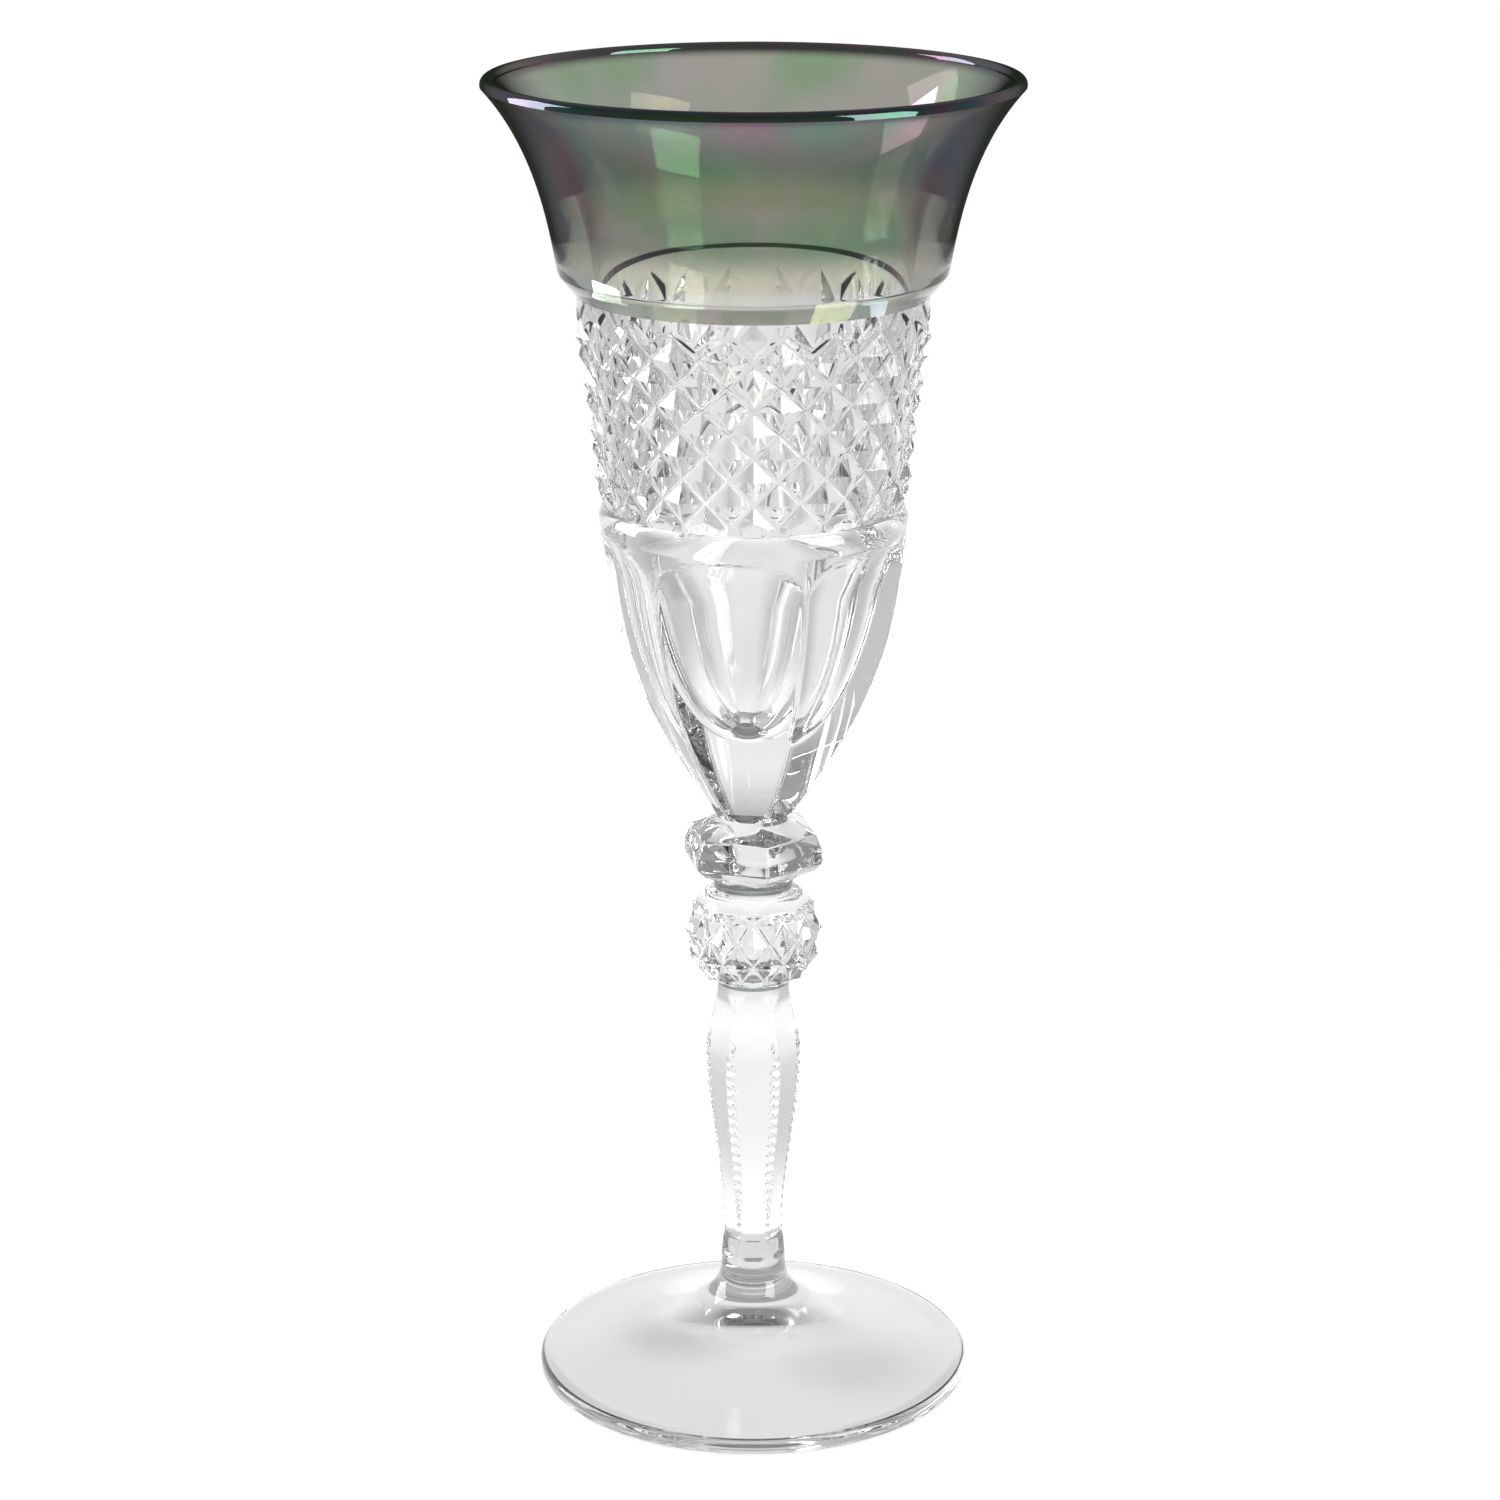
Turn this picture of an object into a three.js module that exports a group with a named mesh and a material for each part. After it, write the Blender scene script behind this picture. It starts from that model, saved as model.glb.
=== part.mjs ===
// A champagne glass of heavy pressed crystal, in millimetres, +Z up, with the middle of its foot on the origin.
// The smoke green lip flares from a stepped shoulder. Under it come a band of diamond points, a round collar
// and a six-sided cup on a six-sided knop, a diamond-point ball, a six-sided stem and a round foot.
// The pieces are fused end to end at flat round faces, so each one stands on the one below it.

import * as THREE from "three";

// Heights of the forms, which stack from the table up. The stem, the knop and the band add up theirs below.
const footHeight = 11;
const ballHeight = 15.4;
const cupHeight = 47.9; // from the knop to the groove under the band
const lipHeight = 31.2;

// Radii of the round faces where two pieces are fused
const footWeldRadius = 9;
const stemWeldRadius = 5.4;
const ballWeldRadius = 6;
const knopWeldRadius = 5.6;

// Foot
const footRadius = 33.1;
const footEdgeHeight = 2.6;
const footEdgeRound = 0.9;
const footRise = 2.2; // how full the dome is above the edge, half way in
const footRestWidth = 2.5; // ring that the glass stands on
const footHollow = 7.5; // height of the hollow inside that ring, under the dome
const hollowTopShare = 0.27; // width of its rounded top, as a share of the ring's inner radius
const hollowSideShare = 0.42; // where its side turns outwards, as a share of that radius
const hollowSideHeight = 0.4; // and as a share of the hollow's height
const footSweep = 4.5; // the foot sweeps up into the stem over this width
const stemSweep = 1.8; // and the stem spreads into the foot over this width
const sweepSteepness = 0.76; // of both where they meet

// Stem, six-sided, with a flat to the front
const stemTurn = 30;
const stemBaseRadius = 4.92; // round base, under the arrises
const stemBaseHeight = 7;
const stemBaseFlare = 0.3; // share of the base that its spread into the foot takes up
const stemWaistRadius = 4.57;
const stemWaistRise = 4.3; // from the base to the waist
const stemBellyRadius = 7.35; // to the arrises, at the widest place
const stemBellyRise = 29.2; // from the waist to the belly
const stemNeckRise = 11.7; // from the belly to the ball
const stemShoulder = 4; // length of the blend from the neck to the six sides
const notchPitch = 1.6;
const notchDepth = 0.4;
const notchStart = 3; // plain stretch of the arrises above the base
const notchEnd = 9.5; // and under the ball

// Diamond-point ball
const ballRadius = 10.4;
const ballNeck = 0.7; // short round neck at each end
const ballCells = 12; // diamonds round the ball
const ballCellHeight = 6.6;
const ballPointHeight = 8.45; // of the middle row of points above the stem
const ballRelief = 1.1;
const ballCapHeight = 2.4; // smooth cap above the points
const ballCapSink = 0.5; // how far the cap lies under the points

// Knop, a six-sided disc
const knopTurn = 11.5;
const knopRadius = 11; // to its corners
const knopRimHeight = 1.9;
const knopShoulderRadius = 9.9; // where the facets change slope
const knopTableRadius = 7.3; // where the sloping facets meet the necks
const knopNeckHeight = 1.9; // round neck above the ball
const knopLowerSlope = 2.4; // height of the lower facets
const knopUpperSlope = 3.9;
const knopTopNeckHeight = 1.2;
const knopLowerBreak = 0.45; // height of that change below the rim, as a share of the lower slope
const knopUpperBreak = 0.66; // and above the rim, as a share of the upper slope
const knopStep = 0.6; // height of the small step between the facets and each neck

// Cup, six-sided, turned a little from the knop
const cupTurn = 20;
const cupFullness = 2.1; // 1 is a straight cone, 2 a parabola
const cupNeckHeight = 1.3; // blend from the round neck to the six sides
const collarRadius = 22.4;
const collarHeight = 3.6;
const collarBulge = 0.35;
const panelLedge = 1.4; // height of the soft ledge at the top of the panels
const panelLedgeShare = 0.4; // how much of a panel's depth that ledge makes
const panelArch = 6; // height over which the panels cut in under it

// Diamond-point band
const bandCells = 20; // diamonds round the bowl
const cellRows = 4;
const cellHeight = 6.9;
const diamondRelief = 1.5; // from the points down to the grooves
const bandFootRadius = 23.2; // to the points
const bandTopRadius = 26.55;
const bandFlare = 1.55;
const neckRingSink = 0.95; // how far the plain ring under the lip lies inside the points
const grooveRadius = 21.85;
const bandFootHeight = 1.1; // from the groove to the lowest row of points
const bandFootSlope = 0.45; // how much the smooth foot of the band leans out
const neckRingHeight = 2.3; // from the highest row of points to the lip
const neckRingOverlap = 2.8; // height by which the ring cuts off the points below it
const neckRingEdge = 0.7; // height of the slope at its lower edge

// Lip
const stepRadius = 28.2;
const stepHeight = 2.9;
const stepLean = 0.2; // how much the wall leans out just above the step
const stepRise = 5; // height over which it keeps that lean
const rimRadius = 38.95;
const rimLean = 0.9; // how much the wall leans out under the rim
const rimReach = 9.2; // height over which the rim's lean is felt
const rimWall = 2.2;
const rimRound = 1; // height of the rounded crest
const throatRise = 10; // height over which the inside keeps the lean of the band
const rimLand = 0.3; // upright edge under the crest

// Cavity
const cupFloor = 14.3; // solid glass between the knop and the bottom of the cavity
const grooveWall = 3.8;
const shoulderWall = 2.7; // of the plain ring
const cavityRound = 10.5; // half width of the rounded bottom
const cavityShare = 0.78; // how full the cavity is half way up the cup

// Smoothness
const roundSteps = 48;
const curveSteps = 7;
const sixSidedSteps = 8; // along each side

const neckRingRadius = bandTopRadius - neckRingSink;
const stemHeight = stemBaseHeight + stemWaistRise + stemBellyRise + stemNeckRise;
const knopHeight = knopNeckHeight + knopLowerSlope + knopRimHeight + knopUpperSlope + knopTopNeckHeight;
const bandHeight = bandFootHeight + cellRows * cellHeight + neckRingHeight;

const stemZ = footHeight;
const ballZ = stemZ + stemHeight;
const knopZ = ballZ + ballHeight;
const cupZ = knopZ + knopHeight;
const grooveZ = cupZ + cupHeight;
const lipZ = grooveZ + bandHeight;
const rimZ = lipZ + lipHeight;

const radians = THREE.MathUtils.degToRad;
const mix = THREE.MathUtils.lerp;
const between = (value, from, to) => THREE.MathUtils.clamp((value - from) / (to - from), 0, 1);
const smooth = (t) => t * t * (3 - 2 * t);

// Even steps from one value to another, which leave out the first and hold the last
const steps = (from, to, count) => Array.from({ length: count }, (_, i) => mix(from, to, (i + 1) / count));

// Azimuths of the points round a ring: 0 is the front and 90 the right.
const allRound = (count, first = 0) =>
  Array.from({ length: count }, (_, i) => (first + 360 + (360 * i) / count) % 360).sort((a, b) => a - b);

// A ring of the skin: its height, and the azimuth and radius of each of its points.
const ring = (height, azimuths, radiusAt) =>
  azimuths.map((azimuth) => ({ azimuth, height, radius: radiusAt(azimuth) }));

const circle = (height, radius) => ring(height, allRound(roundSteps), () => radius);

// Radius of a round bar of radius "round" with six flats cut on it, "flat" from the axis.
function sixFlats(azimuth, turn, flat, round) {
  const fromArris = (((azimuth - turn) % 60) + 60) % 60;
  return Math.min(flat / Math.cos(radians(fromArris - 30)), round);
}
const flatOf = (arrisRadius) => arrisRadius * Math.cos(radians(30));
const hexagon = (turn, arrisRadius) => (azimuth) => sixFlats(azimuth, turn, flatOf(arrisRadius), arrisRadius);

// Depth in a field of staggered diamonds, 0 on the points and 1 along the diagonal grooves.
// "across" and "along" count half cells from a point.
const toNearestEven = (x) => Math.abs(x - 2 * Math.round(x / 2));
const diamondDepth = (across, along) =>
  Math.max(toNearestEven(across + along), toNearestEven(across - along));

// Faces between two rings, which may have different numbers of points. Where two points face each other
// the quad is split along its deeper diagonal, so that grooves stay sharp.
function stitch(faces, lower, upper) {
  const [n, m] = [lower.length, upper.length];
  const at = (points, i) => points[i % points.length];
  const azimuthOf = (points, i) => at(points, i).azimuth + 360 * Math.floor(i / points.length);
  let [i, j] = [0, 0];
  while (i < n || j < m) {
    const nextLower = i < n ? azimuthOf(lower, i + 1) : Infinity;
    const nextUpper = j < m ? azimuthOf(upper, j + 1) : Infinity;
    const rising = at(lower, i).radius + at(upper, j + 1).radius;
    const falling = at(lower, i + 1).radius + at(upper, j).radius;
    const sameAzimuth = Math.abs(nextLower - nextUpper) < 1e-6;
    if (sameAzimuth ? falling < rising : nextLower < nextUpper) {
      faces.push(at(lower, i).index, at(lower, i + 1).index, at(upper, j).index);
      i++;
    } else {
      faces.push(at(lower, i).index, at(upper, j + 1).index, at(upper, j).index);
      j++;
    }
  }
}

// A closed solid from rings that run up the outside and, where there is a cavity, down the inside.
// Its two ends close on the axis.
function loft(rings) {
  const positions = [];
  const faces = [];
  const addPoint = (x, y, z) => positions.push(x, y, z) / 3 - 1;
  for (const points of rings)
    for (const point of points) {
      const turn = radians(point.azimuth);
      point.index = addPoint(point.radius * Math.sin(turn), -point.radius * Math.cos(turn), point.height);
    }
  rings.slice(1).forEach((upper, i) => stitch(faces, rings[i], upper));
  const close = (points, outward) => {
    const middle = addPoint(0, 0, points[0].height);
    points.forEach((point, i) => {
      const next = points[(i + 1) % points.length];
      faces.push(middle, ...(outward ? [next.index, point.index] : [point.index, next.index]));
    });
  };
  close(rings[0], true);
  close(rings[rings.length - 1], false);
  const geometry = new THREE.BufferGeometry();
  geometry.setAttribute("position", new THREE.Float32BufferAttribute(positions, 3));
  geometry.setIndex(faces);
  geometry.computeVertexNormals();
  return geometry;
}

// A turned solid: the outline's points are [radius, height].
function turned(outline) {
  const points = outline.map(([radius, height]) => new THREE.Vector2(radius, height));
  return new THREE.LatheGeometry(points, roundSteps).rotateX(Math.PI / 2);
}

// Points of a Bezier curve with four [radius, height] control points
function curve(...controls) {
  const path = new THREE.CubicBezierCurve(...controls.map(([r, z]) => new THREE.Vector2(r, z)));
  return path.getPoints(curveSteps).map((point) => [point.x, point.y]);
}

// Points of an arc or a part of an ellipse, with its angles in degrees
const arc = ([radius, height], halfWidth, halfHeight, angles) =>
  angles.map((angle) => [
    radius + halfWidth * Math.cos(radians(angle)),
    height + halfHeight * Math.sin(radians(angle)),
  ]);

// The cavity's wall in the cup, from the bottom up to the groove, and above it to the lip
const cupCavityRadius = grooveRadius - grooveWall;
const lipCavityRadius = neckRingRadius - shoulderWall;
const bandCavityLean = (lipCavityRadius - cupCavityRadius) / bandHeight;
const cavityZ = cupZ + cupFloor;
const cupCavity = curve(
  [0, cavityZ],
  [cavityRound, cavityZ],
  [cupCavityRadius * cavityShare, mix(cavityZ, grooveZ, 0.5)],
  [cupCavityRadius, grooveZ],
);

function foot() {
  const restOuter = footRadius - footEdgeRound;
  const restInner = restOuter - footRestWidth;
  const domeHeight = footEdgeHeight + footRise;
  const dome = curve(
    [restOuter, footEdgeHeight],
    [mix(footWeldRadius, footRadius, 0.5), domeHeight],
    [footWeldRadius + footSweep, footHeight - footSweep * sweepSteepness],
    [footWeldRadius, footHeight],
  );
  const hollow = curve(
    [0, footHollow],
    [restInner * hollowTopShare, footHollow],
    [restInner * hollowSideShare, footHollow * hollowSideHeight],
    [restInner, 0],
  );
  return turned([
    ...hollow,
    ...arc([restOuter, footEdgeRound], footEdgeRound, footEdgeRound, [-90, -45, 0]),
    ...arc([restOuter, footEdgeHeight - footEdgeRound], footEdgeRound, footEdgeRound, [0, 45]),
    ...dome,
    [0, footHeight],
  ]);
}

// Radius to the stem's arrises at a height above the foot
const stemWaist = stemBaseHeight + stemWaistRise;
const stemBelly = stemWaist + stemBellyRise;
function stemRadius(height) {
  const blend = (fromRadius, fromHeight, toRadius, toHeight) =>
    mix(fromRadius, toRadius, smooth(between(height, fromHeight, toHeight)));
  if (height > stemBelly) return blend(stemWeldRadius, stemHeight, stemBellyRadius, stemBelly);
  if (height > stemWaist) return blend(stemWaistRadius, stemWaist, stemBellyRadius, stemBelly);
  return blend(stemWaistRadius, stemWaist, stemBaseRadius, stemBaseHeight);
}

// A slender bar with six hollow-ended sides. Its arrises carry a row of small notches.
function stem() {
  const arrises = allRound(6, stemTurn);
  const notchReach = flatOf(stemBellyRadius) / (stemBellyRadius - notchDepth);
  const besideArris = 30 - THREE.MathUtils.radToDeg(Math.acos(notchReach));
  const notched = arrises.flatMap((arris) => [arris - besideArris, arris, arris + besideArris]);
  const plain = allRound(36, stemTurn);
  const section = (height, azimuths, notch = 0) => {
    const radius = stemRadius(height);
    const sides = Math.min(
      smooth(between(height, stemBaseHeight, stemWaist)),
      smooth(between(height, stemHeight, stemHeight - stemShoulder)),
    );
    const flat = mix(radius, flatOf(radius), sides);
    return ring(stemZ + height, azimuths, (azimuth) => sixFlats(azimuth, stemTurn, flat, radius - notch));
  };
  const base = curve(
    [footWeldRadius, 0],
    [footWeldRadius - stemSweep, stemSweep * sweepSteepness],
    [stemBaseRadius, stemBaseHeight * stemBaseFlare],
    [stemBaseRadius, stemBaseHeight],
  );
  const notchesFrom = stemBaseHeight + notchStart;
  const notchCount = Math.round((stemHeight - notchEnd - notchesFrom) / notchPitch);
  const rings = base.map(([radius, height]) => ring(stemZ + height, plain, () => radius));
  for (const height of steps(stemBaseHeight, notchesFrom, 3)) rings.push(section(height, plain));
  for (let i = 0; i < notchCount; i++) {
    const middle = notchesFrom + (i + 0.5) * notchPitch;
    rings.push(section(middle, notched, notchDepth), section(middle + notchPitch / 2, notched));
  }
  const notchesTo = notchesFrom + notchCount * notchPitch;
  for (const height of steps(notchesTo, stemHeight, 7)) rings.push(section(height, plain));
  return loft(rings);
}

// A ball cut all over with staggered diamond points, except for a smooth cap at its top
function ball() {
  const azimuths = allRound(ballCells * 4);
  const halfCell = 180 / ballCells;
  const middle = ballHeight / 2;
  const reach = middle - ballNeck;
  const capHeight = middle + reach - ballCapHeight;
  const rowHeight = ballCellHeight / 4;
  const rowsBelow = Math.floor((ballPointHeight - ballNeck) / rowHeight);
  const rowsAbove = Math.floor((middle + reach - ballPointHeight) / rowHeight);
  const rows = steps(-rowsBelow - 1, rowsAbove, rowsBelow + rowsAbove + 1);
  const heights = rows.map((row) => ballPointHeight + row * rowHeight);
  const rings = [ring(ballZ, azimuths, () => stemWeldRadius)];
  for (const height of [middle - reach, ...heights, middle + reach]) {
    const share = Math.sqrt(Math.max(0, 1 - ((height - middle) / reach) ** 2));
    const neck = mix(stemWeldRadius, ballWeldRadius, height / ballHeight);
    const plain = mix(neck, ballRadius, share);
    rings.push(
      ring(ballZ + height, azimuths, (azimuth) => {
        const depth = diamondDepth(azimuth / halfCell, (height - ballPointHeight) / (ballCellHeight / 2));
        return plain - share * (height > capHeight ? ballCapSink : ballRelief * depth);
      }),
    );
  }
  rings.push(ring(knopZ, azimuths, () => ballWeldRadius));
  return loft(rings);
}

// A six-sided disc with sloping facets above and below its rim, and a round neck at each end
function knop() {
  const azimuths = allRound(6 * sixSidedSteps, knopTurn);
  const six = (height, radius) => ring(knopZ + height, azimuths, hexagon(knopTurn, radius));
  const round = (height, radius) => ring(knopZ + height, azimuths, () => radius);
  const rimBottom = knopNeckHeight + knopLowerSlope;
  const rimTop = rimBottom + knopRimHeight;
  const slopeTop = rimTop + knopUpperSlope;
  return loft([
    round(0, ballWeldRadius),
    round(knopNeckHeight - knopStep, ballWeldRadius),
    six(knopNeckHeight, knopTableRadius),
    six(mix(rimBottom, knopNeckHeight, knopLowerBreak), knopShoulderRadius),
    six(rimBottom, knopRadius),
    six(rimTop, knopRadius),
    six(mix(rimTop, slopeTop, knopUpperBreak), knopShoulderRadius),
    six(slopeTop, knopTableRadius),
    round(slopeTop + knopStep, knopWeldRadius),
    round(knopHeight, knopWeldRadius),
  ]);
}

function bowl() {
  // Six-sided cup up to the collar, where arched panels die into the round
  const cupAzimuths = allRound(6 * sixSidedSteps, cupTurn);
  const collarZ = grooveZ - collarHeight;
  const ledgeZ = collarZ - panelLedge;
  const archZ = ledgeZ - panelArch;
  const neckZ = cupZ + cupNeckHeight;
  const ledge = steps(ledgeZ, collarZ, 3);
  const cupHeights = [cupZ, neckZ, ...steps(neckZ, archZ, 6), ...steps(archZ, ledgeZ, 3), ...ledge];
  const rings = cupHeights.map((height) => {
    const share = between(height, cupZ, collarZ);
    const round = mix(collarRadius, knopWeldRadius, (1 - share) ** cupFullness);
    const arch = 1 - (1 - between(height, ledgeZ, archZ)) ** 2;
    const cut = mix(panelLedgeShare * smooth(between(height, collarZ, ledgeZ)), 1, arch);
    const flat = mix(round, flatOf(round), cut * between(height, cupZ, neckZ));
    return ring(height, cupAzimuths, (azimuth) => sixFlats(azimuth, cupTurn, flat, round));
  });

  // Round collar, and the groove above it
  const collar = curve(
    [collarRadius, collarZ],
    [collarRadius + 2 * collarBulge, mix(collarZ, grooveZ, 0.5)],
    [collarRadius, mix(collarZ, grooveZ, 0.9)],
    [grooveRadius, grooveZ],
  );
  for (const [radius, height] of collar.slice(1)) rings.push(circle(height, radius));

  // Diamond points, with half rows at the top and the bottom cut off flush
  const bandAzimuths = allRound(bandCells * 4);
  const halfCell = 180 / bandCells;
  const firstRow = grooveZ + bandFootHeight;
  const topRow = firstRow + cellRows * cellHeight;
  for (const height of [firstRow, ...steps(firstRow, topRow, cellRows * 4)]) {
    const points = mix(bandFootRadius, bandTopRadius, between(height, firstRow, topRow) ** bandFlare);
    const bandFoot = grooveRadius + bandFootSlope * (height - grooveZ);
    const neckRing = height > topRow - neckRingOverlap ? neckRingRadius : Infinity;
    rings.push(
      ring(height, bandAzimuths, (azimuth) => {
        const depth = diamondDepth(azimuth / halfCell, (height - firstRow) / (cellHeight / 2));
        return Math.min(points - diamondRelief * depth, bandFoot, neckRing);
      }),
    );
  }

  // Plain ring up to the lip, the fused face, and the cavity down to its rounded bottom
  rings.push(circle(topRow + neckRingEdge, neckRingRadius), circle(lipZ, neckRingRadius));
  rings.push(circle(lipZ, lipCavityRadius));
  for (const height of steps(lipZ, grooveZ, 2).slice(0, -1))
    rings.push(circle(height, cupCavityRadius + bandCavityLean * (height - grooveZ)));
  for (const [radius, height] of cupCavity.slice(1).reverse()) rings.push(circle(height, radius));
  return loft(rings);
}

// The lip overhangs the plain ring with a sloping step and flares to a rounded rim
function lip() {
  const crestZ = rimZ - rimRound;
  const edgeZ = crestZ - rimLand;
  const stepZ = lipZ + stepHeight;
  const innerRim = rimRadius - rimWall;
  const outside = curve(
    [stepRadius, stepZ],
    [stepRadius + stepLean * stepRise, stepZ + stepRise],
    [rimRadius - rimLean * rimReach, edgeZ - rimReach],
    [rimRadius, edgeZ],
  );
  const crest = arc([rimRadius - rimWall / 2, crestZ], rimWall / 2, rimRound, [0, ...steps(0, 180, 8)]);
  const inside = curve(
    [innerRim, crestZ],
    [innerRim - rimLean * rimReach, crestZ - rimReach],
    [lipCavityRadius + bandCavityLean * throatRise, lipZ + throatRise],
    [lipCavityRadius, lipZ],
  );
  const bottom = [neckRingRadius, lipZ];
  return turned([bottom, ...outside, ...crest, ...inside.slice(1), bottom]);
}

// Clear crystal, and the fired metal lustre that stains the lip
const crystal = () => new THREE.MeshStandardMaterial({ color: 0xe9ecea, roughness: 0.04, metalness: 0 });
const lustre = () => new THREE.MeshStandardMaterial({ color: 0x76807a, roughness: 0.06, metalness: 0.15 });

const glass = new THREE.Group();
const addPiece = (name, geometry, material) => {
  const piece = new THREE.Mesh(geometry, material);
  piece.name = name;
  glass.add(piece);
};
addPiece("foot", foot(), crystal());
addPiece("baluster_stem", stem(), crystal());
addPiece("diamond_ball", ball(), crystal());
addPiece("hexagonal_knop", knop(), crystal());
addPiece("bowl", bowl(), crystal());
addPiece("lustre_lip", lip(), lustre());

export default glass;
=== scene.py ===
# %% [markdown]
# # A champagne glass of pressed crystal
# The glass has six forms that were fused while hot: a flared lip stained smoke green, a bowl with a band of
# diamond points, a six-sided knop, a ball of diamond points, a notched stem and a round foot.
# The measured model comes in first as a fixed frame. Each form could be the measured solid itself with a
# glass material on it, but light that passes through glass shows every facet of a coarse mesh as a fault.
# So each form is made again as a fine skin with the same sizes.

import math

import bmesh
import bpy
import numpy as np
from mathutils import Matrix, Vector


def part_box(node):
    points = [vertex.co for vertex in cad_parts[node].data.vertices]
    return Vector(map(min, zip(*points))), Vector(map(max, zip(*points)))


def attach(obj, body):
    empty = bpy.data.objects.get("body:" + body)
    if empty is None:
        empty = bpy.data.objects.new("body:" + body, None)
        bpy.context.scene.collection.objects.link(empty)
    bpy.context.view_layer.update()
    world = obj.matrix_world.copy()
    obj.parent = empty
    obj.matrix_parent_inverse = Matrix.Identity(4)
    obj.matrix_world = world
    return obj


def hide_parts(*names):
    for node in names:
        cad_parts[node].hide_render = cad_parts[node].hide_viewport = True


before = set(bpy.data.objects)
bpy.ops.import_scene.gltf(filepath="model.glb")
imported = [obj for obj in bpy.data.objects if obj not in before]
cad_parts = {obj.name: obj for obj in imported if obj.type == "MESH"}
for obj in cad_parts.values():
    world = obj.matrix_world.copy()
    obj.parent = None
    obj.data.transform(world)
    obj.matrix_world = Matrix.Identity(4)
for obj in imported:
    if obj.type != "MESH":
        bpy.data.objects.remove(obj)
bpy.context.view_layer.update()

# %% [markdown]
# ## Heights
# The six forms stand on each other. The heights where they are fused could be typed in again, but a number
# kept in two places soon differs, so they are read from the measured pieces. All shapes are written in
# millimetres, which suits a small thing of glass, and are turned into metres when their meshes are made.

# %% Read the heights
MM = 0.001


def levels(node):
    """The lowest and highest point of a measured piece, in millimetres."""
    low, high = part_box(node)
    return low.z / MM, high.z / MM


foot_top = levels("foot")[1]
stem_top = levels("baluster_stem")[1]
ball_top = levels("diamond_ball")[1]
knop_top = levels("hexagonal_knop")[1]
bowl_top, rim_top = levels("lustre_lip")
print("Fused faces at", [round(z, 1) for z in (foot_top, stem_top, ball_top, knop_top, bowl_top)])
print("Height of the rim", round(rim_top, 1), "mm")

# %% [markdown]
# ## Camera
# The photograph was taken from a little above the table with a long lens, so the rim is a flat ellipse and
# the sides hardly converge. A camera could be placed by eye, but three circles of the glass, the rim, the
# collar and the foot, show as ellipses that give its tilt and distance, so it is placed by numbers.

# %% Place the camera
camera_distance = 0.582
camera_height = 0.2766
camera_pitch = 16.91
sensor = 36
picture_side = 1500
focal_pixels = 4074
lens_shift_left = 0.0005


def in_scene(name, data):
    """A new object in the scene, made of a mesh, a lamp or a camera."""
    thing = bpy.data.objects.new(name, data)
    bpy.context.scene.collection.objects.link(thing)
    return thing


camera_data = bpy.data.cameras.new("photograph_camera")
camera_data.sensor_width = sensor
camera_data.lens = sensor * focal_pixels / picture_side
camera = in_scene("photograph_camera", camera_data)
camera.location = (-lens_shift_left, -camera_distance, camera_height)
camera.rotation_euler = (math.radians(90 - camera_pitch), 0, 0)
bpy.context.scene.camera = camera
print("Lens", round(camera_data.lens, 1), "mm")

# %% [markdown]
# ## Rings and curves
# Every form of this glass has one axis, so each skin is a stack of rings. A ring could come from Blender's
# Screw modifier, which turns an outline round, but the band, the cup and the stem need a radius that
# changes with the azimuth, and points where their edges run. So a ring is a list of points with their
# azimuths, and smooth outlines come from two kinds of curve.

# %% Rings and curves
def mix(a, b, share):
    return a + (b - a) * share


def smooth(share):
    share = np.clip(share, 0, 1)
    return share * share * (3 - 2 * share)


def part_way(value, start, end):
    return np.clip((value - start) / (end - start), 0, 1)


def ring(azimuths, radius, height):
    """A closed ring of points, [azimuth, x, y, z], with azimuth 0 to the front and 90 to the right."""
    azimuths = np.asarray(azimuths, float)
    radius = np.broadcast_to(radius, azimuths.shape)
    height = np.broadcast_to(height, azimuths.shape)
    turn = np.radians(azimuths)
    return np.stack([azimuths, radius * np.sin(turn), -radius * np.cos(turn), height], 1)


def bezier(controls, count):
    """Points along a curve with four [radius, height] control points."""
    a, b, c, d = (np.array(point, float) for point in controls)
    t = np.linspace(0, 1, count + 1)[:, None]
    return a * (1 - t) ** 3 + 3 * b * t * (1 - t) ** 2 + 3 * c * t * t * (1 - t) + d * t**3


def arc(centre, half_width, half_height, first, last, count):
    """Points along part of an ellipse, between two angles in degrees."""
    turn = np.radians(np.linspace(first, last, count + 1))
    return np.stack([centre[0] + half_width * np.cos(turn), centre[1] + half_height * np.sin(turn)], 1)


print("A ring of four points:", ring([0, 90, 180, 270], 5, 2)[:, 1:].round(1).tolist())

# %% [markdown]
# ### Faces between rings
# Two rings with the same azimuths are joined by quads. Where their numbers of points differ, as between the
# six-sided cup and the round collar, they are zipped together with triangles in the order of azimuth. A
# bridge tool would do this too, but it may twist, and the order here is always the same.

# %% Zip two rings
uneven_quad = 0.004


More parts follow.
